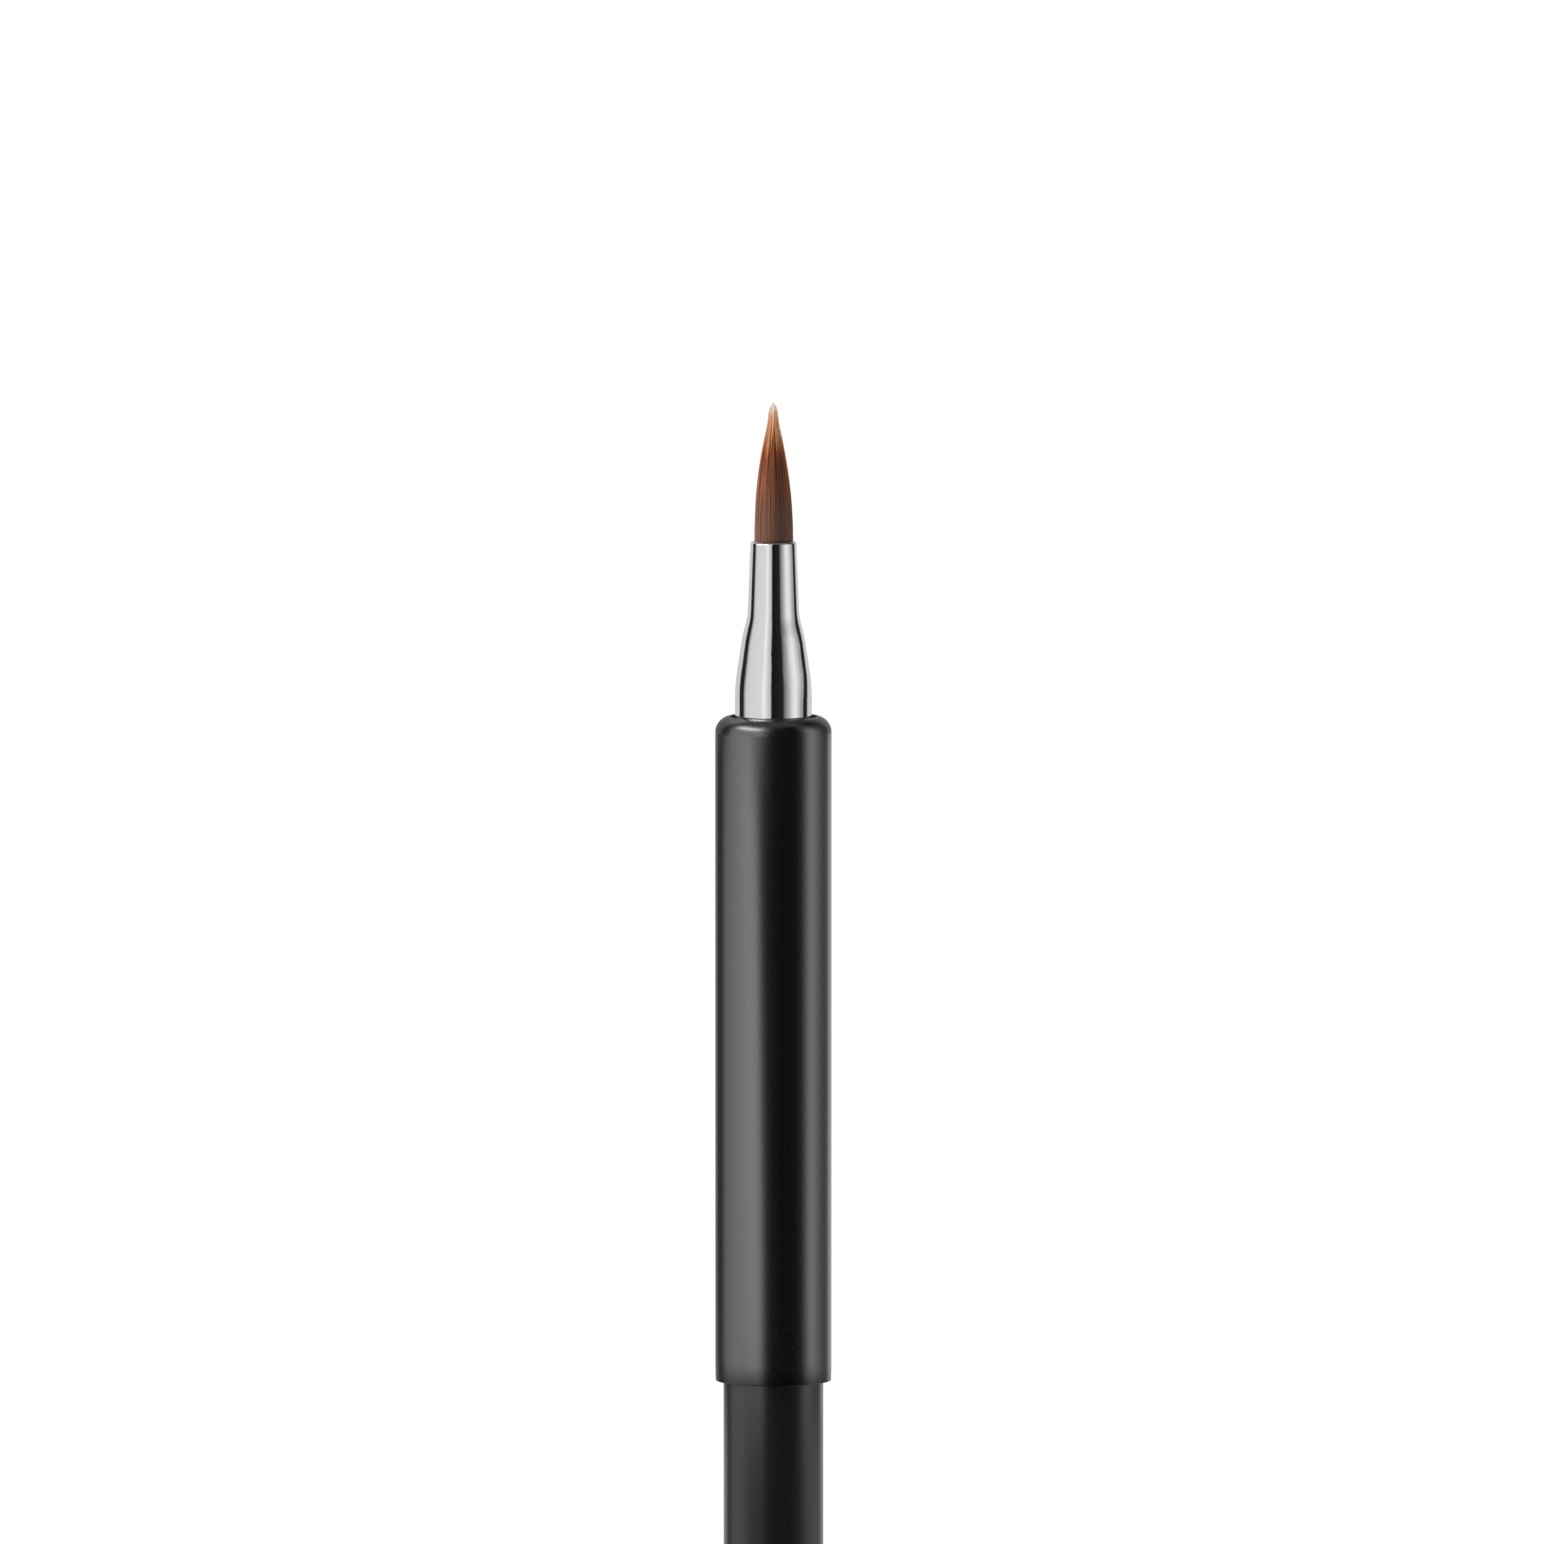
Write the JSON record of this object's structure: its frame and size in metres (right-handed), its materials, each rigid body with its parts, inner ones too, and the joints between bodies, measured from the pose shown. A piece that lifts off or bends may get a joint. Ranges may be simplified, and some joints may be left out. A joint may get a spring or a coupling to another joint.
{
  "type": "retractable detail brush",
  "caption": "Fine pointed round brush on a slim black tube handle, with a plated bell-shaped ferrule and a black sleeve that slides up to cover the hair.",
  "frame": {"origin": "centre of the end plug's flat face, at the closed end of the handle", "axes": "+Z along the brush's axis, from the closed end of the handle towards the point of the hair; the brush is round, so X and Y have no feature to point at"},
  "size_m": [0.01, 0.01, 0.1401],
  "materials": {
    "barrel_black": "matt black anodised tube with very fine drawing lines",
    "plug_black": "fine spark-eroded black moulding",
    "holder_acetal": "plain moulded black acetal",
    "ring_rubber": "black nitrile O-ring, lightly greased",
    "ferrule_plated": "bright nickel-plated brass, polished round the axis",
    "glue_resin": "clear amber set resin",
    "binding_cord": "fine twisted polyester thread",
    "hair_filament": "tapered filament, dark brown at the ferrule, tan above and pale at the point",
    "sleeve_black": "satin charcoal-black lacquer over drawn aluminium",
    "guide_acetal": "plain moulded black acetal",
    "liner_acetal": "thin low-friction black acetal"
  },
  "bodies": {
    "handle": {"barrel": "barrel_black", "end_plug": "plug_black", "head_holder": "holder_acetal", "ferrule": "ferrule_plated", "glue_plug": "glue_resin", "binding_thread": "binding_cord", "bristle_tuft": "hair_filament"},
    "ring": {"friction_ring": "ring_rubber"},
    "sleeve": {"sleeve_shell": "sleeve_black", "nose_guide": "guide_acetal", "slide_liner": "liner_acetal"}
  },
  "joints": [
    {"name": "sleeve_twist", "type": "hinge", "parent": "handle", "child": "ring", "pos_m": [0, 0, 0.102], "axis": [0, 0, 1], "continuous": true},
    {"name": "sleeve_slide", "type": "slide", "parent": "ring", "child": "sleeve", "axis": [0, 0, 1], "range_m": [0, 0.029]}
  ]
}
